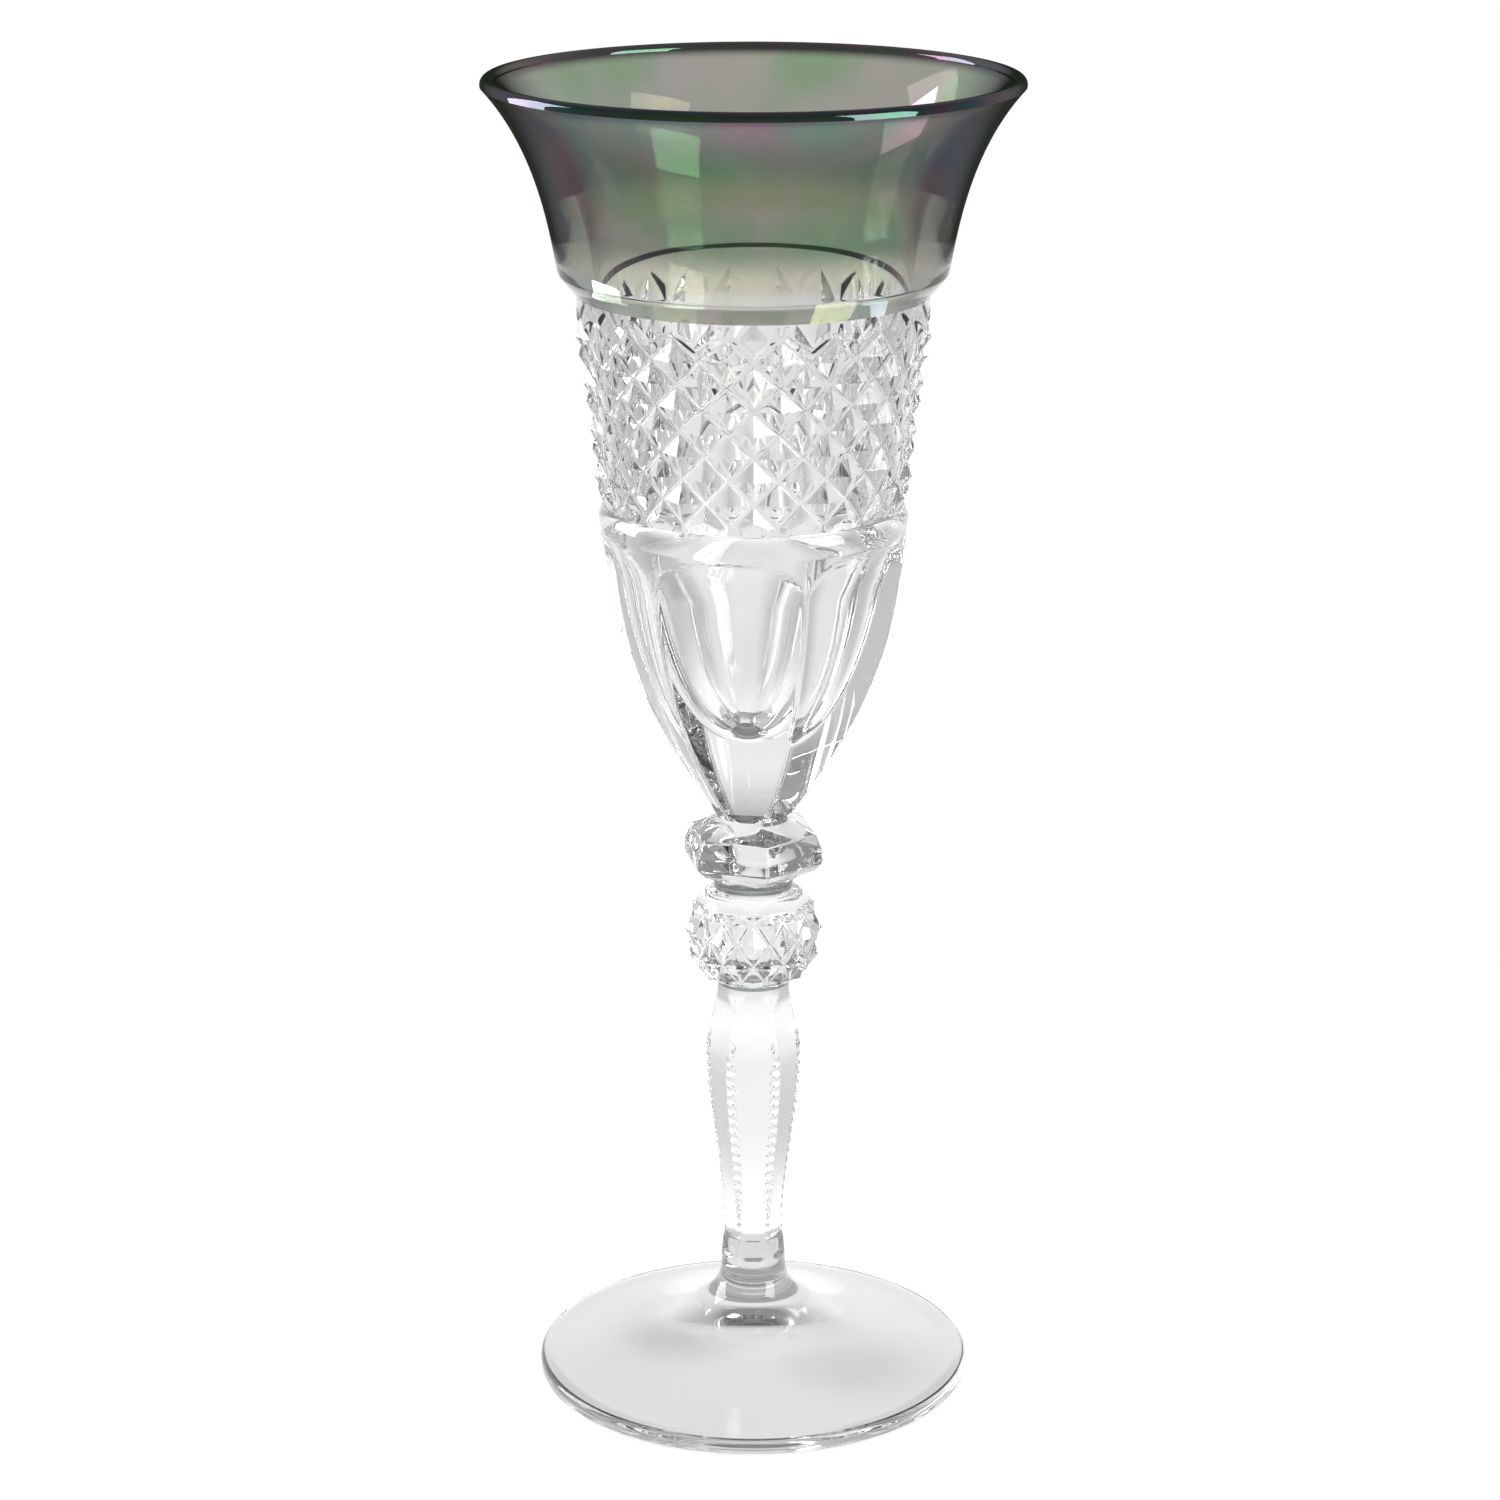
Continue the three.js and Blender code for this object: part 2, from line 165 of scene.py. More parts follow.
def zip_rings(lower, upper, first_lower, first_upper):
    """Faces between two rings: quads where they have the same azimuths, else triangles. A quad that folds
    is split along its deeper diagonal, so that grooves stay sharp."""
    n, m = len(lower), len(upper)
    if n == m and np.allclose(lower[:, 0], upper[:, 0], atol=1e-6):
        i = np.arange(n)
        j = (i + 1) % n
        a, b, c, d = first_lower + i, first_lower + j, first_upper + j, first_upper + i
        low, high = np.hypot(lower[:, 1], lower[:, 2]), np.hypot(upper[:, 1], upper[:, 2])
        fold = (low[i] + high[j]) - (low[j] + high[i])
        quads = np.stack([a, b, c, d], 1)[np.abs(fold) <= uneven_quad]
        rising, falling = fold < -uneven_quad, fold > uneven_quad
        return [
            *quads.tolist(),
            *np.stack([a, b, c], 1)[rising].tolist(),
            *np.stack([a, c, d], 1)[rising].tolist(),
            *np.stack([a, b, d], 1)[falling].tolist(),
            *np.stack([b, c, d], 1)[falling].tolist(),
        ]
    faces, i, j = [], 0, 0
    while i < n or j < m:
        next_lower = lower[(i + 1) % n, 0] + 360 * ((i + 1) // n) if i < n else math.inf
        next_upper = upper[(j + 1) % m, 0] + 360 * ((j + 1) // m) if j < m else math.inf
        a, b = first_lower + i % n, first_upper + j % m
        if next_lower < next_upper:
            faces.append([a, first_lower + (i + 1) % n, b])
            i += 1
        else:
            faces.append([a, first_upper + (j + 1) % m, b])
            j += 1
    return faces


three_points, six_points = ring([0, 120, 240], 1, 0), ring([0, 60, 120, 180, 240, 300], 1, 1)
print("Three points under six give", len(zip_rings(three_points, six_points, 0, 3)), "faces")

# %% [markdown]
# ### Closed skins
# Glass bends light rightly only in a skin with no hole and no inner wall. So every stack of rings is closed,
# and where two forms are fused each skin ends in a flat face of its own, whose number is kept for its
# finish. Edges that fold more than a little are marked sharp, so that facets stay flat and curves smooth.
# The open edges are counted, and there must be none.

# %% Faces of a stack of rings
def stack(parts, closed_loop=False):
    """Points and faces of a stack of rings, with the number of each face's strip. Its ends are closed on
    the axis unless it is a closed loop. A net, a list of ready-made faces, may stand between two rings."""
    points, faces, strips = [], [], []

    def place(some_points):
        points.extend(some_points)
        return len(points) - len(some_points)

    def add(made, strip):
        faces.extend(made)
        strips.extend([strip] * len(made))

    starts = [None if isinstance(part, list) else place(part[:, 1:].tolist()) for part in parts]
    for strip in range(1, len(parts)):
        below, above = parts[strip - 1], parts[strip]
        if isinstance(above, list):
            for face in above:
                first = place(face.tolist())
                add([list(range(first, first + len(face)))], strip)
        elif not isinstance(below, list):
            add(zip_rings(below, above, starts[strip - 1], starts[strip]), strip)
    if closed_loop:
        add(zip_rings(parts[-1], parts[0], starts[-1], 0), len(parts))
        return points, faces, strips
    for part, start, strip in ((parts[0], starts[0], 0), (parts[-1], starts[-1], len(parts))):
        middle = place([[0, 0, part[0, 3]]])
        i = np.arange(len(part))
        j = (i + 1) % len(part)
        here, there = (j, i) if strip == 0 else (i, j)
        add(np.stack([np.full_like(i, middle), start + here, start + there], 1).tolist(), strip)
    return points, faces, strips


print("With their caps the two rings have", len(stack([three_points, six_points])[1]), "faces")

# %% Close a skin
same_place = 1e-7
sharp_over = 26


def skin(name, parts, fused, closed_loop=False):
    """A closed skin through a stack of rings. fused holds the numbers of the strips that are fused faces:
    0 is the cap under the first ring."""
    points, faces, strips = stack(parts, closed_loop)
    mesh = bpy.data.meshes.new(name)
    mesh.from_pydata((np.array(points) * MM).tolist(), [], faces)
    mesh.polygons.foreach_set("material_index", [int(strip in fused) for strip in strips])
    mesh.polygons.foreach_set("use_smooth", [True] * len(faces))
    welded = bmesh.new()
    welded.from_mesh(mesh)
    bmesh.ops.remove_doubles(welded, verts=welded.verts, dist=same_place)
    open_edges = sum(not edge.is_manifold for edge in welded.edges)
    welded.to_mesh(mesh)
    welded.free()
    mesh.set_sharp_from_angle(angle=math.radians(sharp_over))
    print(name, "has", len(mesh.polygons), "faces and", open_edges, "open edges")
    return in_scene(name, mesh)


print("Points less than", round(same_place / MM, 5), "mm apart become one")

# %% [markdown]
# ## Foot
# The foot is a thin round dome with a rounded edge. It stands on a flat ring, and inside that ring a deep,
# smooth hollow follows the dome from below. A solid disc would be simpler, but it would act as a lens and
# show dark rings, where the real foot is evenly pale. So the turned outline has the hollow too, and true
# arcs at the edge, where the glass draws its double line.

# %% Make the foot
round_steps = 256
around = np.arange(round_steps) * 360 / round_steps
foot_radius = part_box("foot")[1].x / MM
foot_weld = 9
foot_edge, foot_edge_round = 2.6, 0.9
foot_dome = 4.8
rest_width, hollow = 2.5, 7.5
hollow_top, hollow_side, hollow_side_height = 0.27, 0.42, 0.4
foot_sweep, stem_sweep, sweep_steepness = 4.5, 1.8, 0.76


def turned(outline):
    return [ring(around, radius, height) for radius, height in outline]


def foot_outline():
    outer = foot_radius - foot_edge_round
    inner = outer - rest_width
    under = [
        [0, hollow],
        [inner * hollow_top, hollow],
        [inner * hollow_side, hollow * hollow_side_height],
        [inner, 0],
    ]
    dome = [
        [outer, foot_edge],
        [mix(foot_weld, foot_radius, 0.5), foot_dome],
        [foot_weld + foot_sweep, foot_top - foot_sweep * sweep_steepness],
        [foot_weld, foot_top],
    ]
    return np.vstack([
        bezier(under, count=50)[1:],
        arc([outer, foot_edge_round], foot_edge_round, foot_edge_round, -90, 0, count=8),
        arc([outer, foot_edge - foot_edge_round], foot_edge_round, foot_edge_round, 0, 90, count=8)[:-1],
        bezier(dome, count=60),
    ])


foot_rings = turned(foot_outline())
print("Foot", round(2 * foot_radius, 1), "mm across")
foot = skin("crystal_foot", foot_rings, fused=[len(foot_rings)])

# %% [markdown]
# ## Stem
# The stem is a slender six-sided bar that swells towards the top. Each of its arrises, the edges between two
# sides, carries a row of pressed notches that show as a string of dark and bright beads. They could be a
# bump in the material, but a bump can't change an outline, so they are dents in the mesh, worked out by a
# formula along the arris. The rings have most of their points close to the six arrises, so that the sides
# stay flat and the arrises crisp.

# %% Six sides
arris_offsets = np.array([-12, -7, -4, -2.2, -1.2, -0.5, 0, 0.5, 1.2, 2.2, 4, 7, 12])


def six_sided_azimuths(turn):
    """Azimuths that crowd round six arrises, with three more in the middle of each side."""
    middles = np.array([20, 30, 40])
    every = [turn + 60 * side + np.concatenate([arris_offsets, middles]) for side in range(6)]
    return np.sort(np.mod(np.concatenate(every), 360))


def six_flats(azimuths, turn, flat, round_radius, soften):
    """Radius of a round bar with six flats. soften rounds the arrises off, in millimetres."""
    from_arris = np.mod(azimuths - turn + 30, 60) - 30
    to_flat = flat / np.cos(np.radians(30 - np.abs(from_arris)))
    radius = np.minimum(to_flat, round_radius)
    if soften:
        width = np.degrees(soften / np.maximum(round_radius, 1e-6)) * 2
        radius = radius - soften * np.clip(1 - np.abs(from_arris) / width, 0, 1) ** 2
    return radius


print("A six-sided ring has", len(six_sided_azimuths(0)), "points")

# %% Outline, flats and notches of the stem
stem_turn = 30
stem_weld = 5.4
base_radius, base_height, base_flare = 4.92, 7, 0.3
waist_radius, waist_rise = 4.57, 4.3
belly_radius, belly_rise = 7.35, 29.2
stem_shoulder = 4
stem_arris_round = 0.12
flats_from, flats_step, flats_step_rise = 7.7, 0.45, 0.6
notch_pitch, notch_depth, notch_roundness = 1.6, 0.45, 1.5
notch_start, notch_end = 3, 9.5
notch_fade_in, notch_fade_out = 6, 3
notch_half_width = 7
rings_per_notch = 8
flat_share = math.cos(math.radians(30))
stem_height = stem_top - foot_top
waist = base_height + waist_rise
belly = waist + belly_rise


def stem_radius(height):
    if height > belly:
        return mix(stem_weld, belly_radius, smooth((stem_height - height) / (stem_height - belly)))
    if height > waist:
        return mix(waist_radius, belly_radius, smooth((height - waist) / (belly - waist)))
    return mix(waist_radius, base_radius, smooth((waist - height) / (waist - base_height)))


def flatness(height):
    """How far the six flats are cut: a small step above the round base, then all the way up to the neck."""
    step = smooth((height - flats_from) / flats_step_rise)
    rest = smooth((height - flats_from) / (waist - flats_from))
    return min(flats_step * step + (1 - flats_step) * rest, smooth((stem_height - height) / stem_shoulder))


def notch_at(height, from_arris):
    """How deep the notches are at a height: rounded dents along each arris, a few degrees wide."""
    first = base_height + notch_start
    last = stem_height - notch_end
    if not first < height < last:
        return 0 * from_arris
    along = abs(math.sin(math.pi * (height - first) / notch_pitch))
    fade = min(1, (height - first) / notch_fade_in, (last - height) / notch_fade_out)
    across = np.clip(1 - (from_arris / notch_half_width) ** 2, 0, 1)
    return notch_depth * fade * along**notch_roundness * across


print("The belly is", 2 * belly_radius, "mm thick,", round(foot_top + belly, 1), "mm up")

# %% Make the stem
def stem_rings():
    azimuths = six_sided_azimuths(stem_turn)
    from_arris = np.mod(azimuths - stem_turn + 30, 60) - 30
    foot_end = [foot_weld - stem_sweep, stem_sweep * sweep_steepness]
    base = [[foot_weld, 0], foot_end, [base_radius, base_height * base_flare], [base_radius, base_height]]
    rings = [ring(azimuths, radius, foot_top + height) for radius, height in bezier(base, count=32)]
    step = notch_pitch / rings_per_notch
    for height in np.arange(base_height + step, stem_height - step / 2, step).tolist() + [stem_height]:
        radius = stem_radius(height)
        sides = flatness(height)
        flat = mix(radius, radius * flat_share, sides)
        around_arris = six_flats(azimuths, stem_turn, flat, radius, stem_arris_round * sides)
        rings.append(ring(azimuths, around_arris - notch_at(height, from_arris), foot_top + height))
    return rings


stem_skin = stem_rings()
stem = skin("notched_stem", stem_skin, fused=[0, len(stem_skin)])

# %% [markdown]
# ## Diamond points
# Pressed diamonds are low pyramids in staggered rows. Their crisp ridges run upright and level, and the
# grooves between them run at a slant, with a narrow round bottom. A displaced grid would blur both. So each
# small square between two ridges is laid out as a net of ready-made faces: two flat triangles that slope
# down to the groove, and thin strips for the groove's round bottom. Rows that run into a smooth ring get an
# even, finer grid instead, because the ring cuts them off at a slant.

# %% Round-bottomed grooves
groove_width = 0.15
groove_steps = 5
beside_groove = 0.04
edge_shares = np.append(np.linspace(0, groove_width, groove_steps + 1), groove_width + beside_groove)


def groove_rise(from_groove):
    """How far the round bottom of a groove fills it, as a share of the relief. from_groove is 0 in the
    groove and 1 on a point."""
    return groove_width / 2 * np.clip(1 - from_groove / groove_width, 0, None) ** 2


def filled(points, amount):
    """Points [x, y, z] moved outwards by an amount."""
    radius = np.hypot(points[..., 0], points[..., 1])[..., None]
    outwards = (radius + amount) / radius
    return np.concatenate([points[..., :2] * outwards, points[..., 2:]], -1)


print("Strips start at", edge_shares.round(2).tolist(), "of the way from the groove to the point")

# %% Rows of facets as nets
def row_corners(columns, corner, row):
    """The corners of the facets on a level line. Every second one is a point and the others lie low in the
    crossings of the grooves."""
    low = (np.arange(columns) + row) % 2 == 1
    radius, height, relief = corner(row)
    return ring(np.arange(columns) * 360 / columns, radius - low * relief, height)[:, 1:], low, relief


def facet_ring(columns, corner, row):
    """The level line between two rows of facets, as a ring."""
    corners, low, relief = row_corners(columns, corner, row)
    line = []
    for here in range(columns):
        there = (here + 1) % columns
        lowest, point = (here, there) if low[here] else (there, here)
        for share in edge_shares if low[here] else [1, *edge_shares[:0:-1]]:
            place = filled(mix(corners[lowest], corners[point], share), relief * groove_rise(share))
            line.append([(here + (share if low[here] else 1 - share)) * 360 / columns, *place])
    return np.array(line)


def facet_net(columns, corner, row):
    """One row of facets as ready-made faces: on each square between two ridges two flat triangles slope
    down to the groove, where narrow strips make its round bottom."""
    lower, low, lower_relief = row_corners(columns, corner, row)
    upper, _, upper_relief = row_corners(columns, corner, row + 1)
    a, b, c, d = lower, np.roll(lower, -1, 0), np.roll(upper, -1, 0), upper
    faces = []
    for point, first, second in ((a, b, d), (c, d, b), (b, c, a), (d, a, c)):
        chosen = np.flatnonzero(~low if point is a or point is c else low)
        lines = []
        for share in edge_shares:
            ends = []
            for end in (first, second):
                relief = lower_relief if end is a or end is b else upper_relief
                ends.append(filled(mix(end, point, share)[chosen], relief * groove_rise(share)))
            lines.append(ends)
        faces.extend(np.stack([point[chosen], *lines[-1]], 1))
        for (near_first, near_second), (far_first, far_second) in zip(lines, lines[1:]):
            faces.extend(np.stack([far_second, far_first, near_first, near_second], 1))
    return faces


print("Each square between ridges has", 2 * len(edge_shares), "faces")

# %% Rings through the field at any height
field_steps = 20


def field_ring(columns, along, radius, relief):
    """Azimuths and radii of a ring through the field of diamonds at any height. along counts rows up from
    a row with a point at the front. Between two columns the facets are flat."""
    across = np.arange(columns * field_steps) / field_steps
    depth = np.maximum(*(np.abs(x - 2 * np.round(x / 2)) for x in (across + along, across - along)))
    half = math.pi / columns
    flat = math.cos(half) / np.cos((across % 1 - 0.5) * 2 * half)
    return across * 360 / columns, (radius - relief * (depth - groove_rise(1 - depth))) * flat


def soft_smaller(a, b, width):
    """The smaller of two radii, with a rounded edge where they cross."""
    return np.minimum(a, b) - np.clip(width - np.abs(a - b), 0, None) ** 2 / (4 * width)


print("Rings through the field have", field_steps, "points from one ridge to the next")

# %% [markdown]
# ## Ball
# The ball is a sphere cut with twelve diamonds round it. Its top is a smooth cap and its bottom runs into
# the stem, so only its middle rows are whole diamonds. It could be a sphere with pyramids stuck on, but
# then their feet would cut into each other, so it uses the same field of facets as the bowl's band.

# %% Make the ball
ball_weld = 6
ball_radius = 10.4
ball_neck = 0.7
ball_columns = 24
ball_row_height = 3.3
ball_point_height = 8.45
ball_relief = 1.1
ball_whole_rows = (-2, -1, 0)
cap_from, cap_full, cap_sink = 11.9, 13.2, 0.5
cap_blend, cap_edge_round = 0.4, 0.15
ball_middle = (ball_top - stem_top) / 2


def ball_plain(height):
    """Radius to the points at a height above the stem, and how much of the relief is left there."""
    share = np.sqrt(np.clip(1 - ((height - ball_middle) / (ball_middle - ball_neck)) ** 2, 0, None))
    neck = mix(stem_weld, ball_weld, height / (2 * ball_middle))
    return mix(neck, ball_radius, share), share


def ball_corner(row):
    height = ball_point_height + row * ball_row_height
    radius, share = ball_plain(height)
    return radius, stem_top + height, ball_relief * share


def ball_field(height):
    """A ring of the ball at any height, with the smooth cap laid over its top."""
    plain, share = ball_plain(height)
    row = (height - ball_point_height) / ball_row_height
    azimuths, radius = field_ring(ball_columns, row, plain, ball_relief * share)
    cap = plain - share * cap_sink
    if height > cap_from:
        capped = smooth(part_way(height, cap_from + cap_blend, cap_full))
        radius = mix(soft_smaller(radius, cap, cap_edge_round), cap, capped)
    return ring(azimuths, radius, stem_top + height)


def ball_rings():
    first, end = ball_whole_rows[0], ball_whole_rows[-1] + 1
    low = ball_point_height + first * ball_row_height
    high = ball_point_height + end * ball_row_height
    rings = [ring(around, stem_weld, stem_top)]
    rings += [ball_field(height) for height in np.linspace(ball_neck, low, num=8)[:-1]]
    for row in ball_whole_rows:
        rings += [facet_ring(ball_columns, ball_corner, row), facet_net(ball_columns, ball_corner, row)]
    rings.append(facet_ring(ball_columns, ball_corner, end))
    rings += [ball_field(height) for height in np.linspace(high, 2 * ball_middle - ball_neck, num=25)[1:]]
    return rings + [ring(around, ball_weld, ball_top)]


ball_skin = ball_rings()
ball = skin("diamond_ball_skin", ball_skin, fused=[0, len(ball_skin)])

# %% [markdown]
# ## Knop
# The knop is a six-sided disc with facets that slope to a round neck above and below. Its edges are crisp
# but not sharp. A bevel would round every edge alike, also the fused ones, so the outline is drawn as
# straight lines and each of its corners is rounded with a small curve before the rings are made.

# %% Make the knop
def rounded(points, radius, steps=4):
    """A line of [radius, height] points with its inner corners rounded off."""
    points = np.array(points, float)
    line = [points[:1]]
    for before, here, after in zip(points, points[1:], points[2:]):
        reach_back = min(radius, np.linalg.norm(before - here) / 2)
        reach_on = min(radius, np.linalg.norm(after - here) / 2)
        start = here + (before - here) / np.linalg.norm(before - here) * reach_back
        end = here + (after - here) / np.linalg.norm(after - here) * reach_on
        t = np.linspace(0, 1, steps + 1)[:, None]
        line.append(start * (1 - t) ** 2 + 2 * here * t * (1 - t) + end * t**2)
    return np.vstack(line + [points[-1:]])


knop_turn = 11.5
knop_weld = 5.6
knop_radius, knop_shoulder, knop_table = 11, 9.9, 7.3
knop_neck, knop_lower_slope, knop_rim, knop_upper_slope = 1.9, 2.4, 1.9, 3.9
knop_step, knop_lower_break, knop_upper_break = 0.6, 0.45, 0.66
knop_corner_round, knop_arris_round = 0.35, 0.15


def knop_rings():
    rim_low = ball_top + knop_neck + knop_lower_slope
    rim_high = rim_low + knop_rim
    slope_top = rim_high + knop_upper_slope
    outline = rounded([
        [knop_table, ball_top + knop_neck],
        [knop_shoulder, mix(rim_low, ball_top + knop_neck, knop_lower_break)],
        [knop_radius, rim_low],
        [knop_radius, rim_high],
        [knop_shoulder, mix(rim_high, slope_top, knop_upper_break)],
        [knop_table, slope_top],
    ], knop_corner_round)
    azimuths = six_sided_azimuths(knop_turn)
    rings = [ring(azimuths, ball_weld, height) for height in (ball_top, ball_top + knop_neck - knop_step)]
    for radius, height in outline:
        facets = six_flats(azimuths, knop_turn, radius * flat_share, radius, knop_arris_round)
        rings.append(ring(azimuths, facets, height))
    return rings + [ring(azimuths, knop_weld, height) for height in (slope_top + knop_step, knop_top)]


knop_skin = knop_rings()
knop = skin("six_sided_knop_skin", knop_skin, fused=[0, len(knop_skin)])

# %% [markdown]
# ## Bowl
# The bowl's outside and inside could be two meshes, but light bends rightly only through one closed skin.
# So one stack of rings runs up the outside and then down the cavity. The outside starts with a six-sided
# cup. Each of its flat panels ends in an arch under a soft ledge, over which the round collar bulges. Arch
# and ledge come from cutting the round cup less and less deeply towards the top.

# %% Make the outside of the cup and its collar
cup_turn = 20
cup_fullness = 2.1
cup_neck = 1.3
collar_radius, collar_height, collar_bulge = 22.4, 3.6, 0.35
collar_middle, collar_crest = 0.5, 0.9
panel_ledge, ledge_share, panel_arch = 1.4, 0.4, 6
panel_edge_round = 0.2
band_height = 31
groove_radius = 21.85
groove_height = bowl_top - band_height
collar_low = groove_height - collar_height
beside_arris = np.array([0.4, 1, 1.8, 3, 4.5, 6, 8, 10, 13, 17, 21, 25.5])
cup_offsets = np.concatenate([-beside_arris[::-1], [0], beside_arris])


def cup_rings():
    six = [cup_turn + 60 * side + np.append(cup_offsets, 30) for side in range(6)]
    azimuths = np.sort(np.mod(np.concatenate(six), 360))
    ledge_low = collar_low - panel_ledge
    arch_low = ledge_low - panel_arch
    heights = np.concatenate([
        np.linspace(knop_top, knop_top + cup_neck, num=5),
        np.linspace(knop_top + cup_neck, arch_low, num=50)[1:],
        np.linspace(arch_low, ledge_low, num=30)[1:],
        np.linspace(ledge_low, collar_low, num=12)[1:],
    ])
    rings = []
    for height in heights:
        share = part_way(height, knop_top, collar_low)
        round_radius = mix(collar_radius, knop_weld, (1 - share) ** cup_fullness)
        ledge = ledge_share * smooth(part_way(height, collar_low, ledge_low))
        cut = mix(ledge, 1, 1 - (1 - part_way(height, ledge_low, arch_low)) ** 2)
        cut = cut * part_way(height, knop_top, knop_top + cup_neck)
        flat = mix(round_radius, round_radius * flat_share, cut)
        panels = six_flats(azimuths, cup_turn, flat, round_radius, panel_edge_round * cut)
        rings.append(ring(azimuths, panels, height))
    collar = bezier([
        [collar_radius, collar_low],
        [collar_radius + 2 * collar_bulge, mix(collar_low, groove_height, collar_middle)],
        [collar_radius, mix(collar_low, groove_height, collar_crest)],
        [groove_radius, groove_height],
    ], count=20)
    return rings + turned(collar[1:])


cup_part = cup_rings()
print("The cup has", len(cup_part), "rings")

# %% [markdown]
# ### Band of diamond points
# Above the groove the bowl flares, and forty half columns of facets go round it, so that twenty points
# stand in a row. Whole rows are nets. The lowest row runs out into the groove and the highest into the
# plain ring, which cuts it off, so these two are made of fine rings.

# %% Make the band and the plain ring
band_columns = 40
band_rows = 8
band_row_height = 3.45
band_foot_height = 1.1
band_foot_slope = 0.45
band_foot_radius, band_top_radius, band_flare = 23.2, 26.55, 1.55
band_relief = 1.5
band_edge_round = 0.12
neck_ring_radius = 25.6
neck_ring_overlap = 2.8
neck_ring_edge = 0.7
first_row = groove_height + band_foot_height
top_row = first_row + band_rows * band_row_height


def band_points(height):
    return mix(band_foot_radius, band_top_radius, part_way(height, first_row, top_row) ** band_flare)


def band_corner(row):
    height = first_row + row * band_row_height
    return band_points(height), height, band_relief


def band_field(along):
    """A ring of the band at any height, cut off by the smooth foot of the band and by the plain ring."""
    height = first_row + along * band_row_height
    azimuths, radius = field_ring(band_columns, along, band_points(height), band_relief)
    foot_cone = groove_radius + band_foot_slope * (height - groove_height)
    radius = soft_smaller(radius, foot_cone, band_edge_round)
    if height > top_row - neck_ring_overlap:
        radius = soft_smaller(radius, neck_ring_radius, band_edge_round)
    return ring(azimuths, radius, height)


def band_rings():
    last = band_rows - 1
    rings = [band_field(along) for along in np.arange(field_steps) / field_steps]
    for row in range(1, last):
        rings += [facet_ring(band_columns, band_corner, row), facet_net(band_columns, band_corner, row)]
    rings.append(facet_ring(band_columns, band_corner, last))
    rings += [band_field(last + share) for share in np.arange(1, field_steps + 1) / field_steps]
    plain_ring = [[neck_ring_radius, top_row + neck_ring_edge], [neck_ring_radius, bowl_top]]
    return rings + turned(plain_ring)


band_part = band_rings()
print("The band has", len(band_part), "rings")

# %% [markdown]
# ### Cavity
# The inside is smooth and round, with a wall of 2 to 4 mm and a rounded floor above the solid end of the
# cup. It could be cut out with a boolean, but that would leave slivers in the glass. A curve turned round
# the axis has none.

# %% Make the cavity and close the bowl
cup_floor = 14.3
groove_wall, shoulder_wall = 3.8, 2.7
cavity_round, cavity_share = 10.5, 0.78
groove_cavity = groove_radius - groove_wall
lip_cavity = neck_ring_radius - shoulder_wall
cavity_lean = (lip_cavity - groove_cavity) / band_height
cavity_low = knop_top + cup_floor


def cavity_rings():
    t = np.linspace(0, 1, num=25)
    beside_band = np.stack([mix(lip_cavity, groove_cavity, t), mix(bowl_top, groove_height, t)], 1)
    in_cup = bezier([
        [groove_cavity, groove_height],
        [groove_cavity * cavity_share, mix(cavity_low, groove_height, 0.5)],
        [cavity_round, cavity_low],
        [0, cavity_low],
    ], count=70)
    return turned(np.vstack([beside_band, in_cup[1:-1]]))


cavity_part = cavity_rings()
bowl_skin = cup_part + band_part + cavity_part
bowl = skin("bowl_skin", bowl_skin, fused=[0, len(cup_part) + len(band_part)])

# %% [markdown]
# ## Lip
# The lip is a sloping step, a wall that flares like a bell and a rounded rim. A thin sheet thickened by a
# modifier would keep the same wall everywhere, but the real wall is thickest in the step, where the glass
# bends light most. So the outline is drawn all the way round, outside and inside, as one closed band whose
# lower face is fused to the bowl's plain ring.

# %% Make the lip
rim_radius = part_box("lustre_lip")[1].x / MM
step_radius, step_height = 28.2, 2.9
step_lean, step_rise = 0.2, 5
step_round, step_gap = 0.9, 0.1
rim_lean, rim_reach = 0.9, 9.2
rim_wall, rim_round, rim_land = 2.2, 1, 0.3
throat_rise = 10


def lip_outline():
    crest = rim_top - rim_round
    edge = crest - rim_land
    step_top = bowl_top + step_height
    inner_rim = rim_radius - rim_wall
    step = rounded([
        [neck_ring_radius, bowl_top],
        [step_radius, step_top],
        [step_radius + step_lean, step_top + 1],
    ], step_round, steps=8)[:-1]
    outside = bezier([
        [step_radius, step_top],
        [step_radius + step_lean * step_rise, step_top + step_rise],
        [rim_radius - rim_lean * rim_reach, edge - rim_reach],
        [rim_radius, edge],
    ], count=80)
    inside = bezier([
        [inner_rim, crest],
        [inner_rim - rim_lean * rim_reach, crest - rim_reach],
        [lip_cavity + cavity_lean * throat_rise, bowl_top + throat_rise],
        [lip_cavity, bowl_top],
    ], count=80)
    outside = outside[outside[:, 1] > step[-1, 1] + step_gap]
    brim = arc([rim_radius - rim_wall / 2, crest], rim_wall / 2, rim_round, 0, 180, count=24)
    return np.vstack([step, outside, brim, inside[1:]])


lip_rings = turned(lip_outline())
lip = skin("flared_lip_skin", lip_rings, fused=[len(lip_rings)], closed_loop=True)

# %% [markdown]
# ## Finishes
# A finish is a material made of nodes. Each node has a kind, a few settings, and inputs that hold a plain
# value or come from another node. The nodes could be laid by hand in the Shader Editor, but a few small
# helpers write them down so that they can be read from top to bottom.

# %% Helpers for nodes
def feed(tree, socket, value):
    """Link another node's output to an input, or write a plain value on it."""
    if isinstance(value, bpy.types.NodeSocket):
        tree.links.new(value, socket)
    else:
        socket.default_value = value


def fill(tree, node, inputs):
    for socket, value in inputs.items():
        feed(tree, node.inputs[socket], value)


def new_node(tree, kind, inputs=None, **settings):
    """A new shader node with its settings and its inputs."""
    made = tree.nodes.new("ShaderNode" + kind)
    for name, value in settings.items():
        setattr(made, name, value)
    fill(tree, made, inputs or {})
    return made


